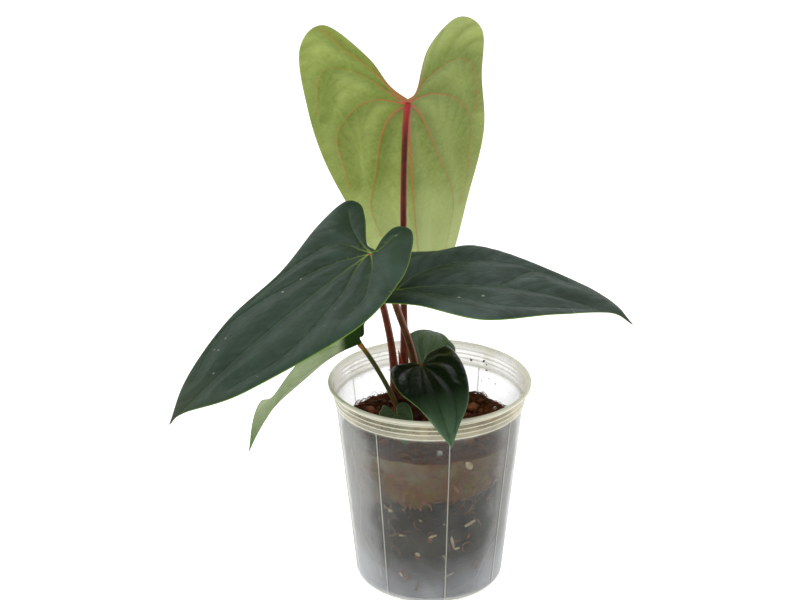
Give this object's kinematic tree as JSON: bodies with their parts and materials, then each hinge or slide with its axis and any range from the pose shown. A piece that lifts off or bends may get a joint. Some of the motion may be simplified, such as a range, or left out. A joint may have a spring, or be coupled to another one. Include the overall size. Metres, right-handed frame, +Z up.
{
  "type": "potted anthurium",
  "caption": "Potted anthurium with large heart-shaped leaves on long stalks, growing from bark mix in a clear tapered nursery pot.",
  "frame": {"origin": "centre of the underside of the pot's base, on the ground", "axes": "+Z up, +X to the right and +Y away from the side on which the smallest open leaf hangs over the pot's lip"},
  "size_m": [0.2468, 0.2131, 0.3345],
  "materials": {
    "pot_plastic": "milky see-through, lightly hazed",
    "mix": "rough, fibrous and damp",
    "bark": "rough",
    "grain": "rough and dull",
    "root": "dull",
    "stem": "dull, scarred",
    "stalk": "satin",
    "shoot": "satin",
    "leaf_dark": "satin, slightly velvety",
    "leaf_pale": "matt underside"
  },
  "bodies": {
    "root": {"bark_1": "bark", "bark_2": "bark", "bark_3": "bark", "bark_4": "bark", "bark_5": "bark", "bark_6": "bark", "blade_back": "leaf_pale", "blade_front": "leaf_dark", "blade_left": "leaf_dark", "blade_low": "leaf_dark", "blade_rear": "leaf_dark", "blade_right": "leaf_dark", "blade_tiny": "leaf_dark", "grain_1": "grain", "grain_2": "grain", "grain_3": "grain", "grain_4": "grain", "mix": "mix", "new_shoot": "shoot", "pot": "pot_plastic", "root_1": "root", "root_2": "root", "root_3": "root", "stalk_back": "stalk", "stalk_front": "stalk", "stalk_left": "stalk", "stalk_low": "stalk", "stalk_rear": "stalk", "stalk_right": "stalk", "stalk_tiny": "stalk", "stem": "stem"}
  },
  "joints": []
}
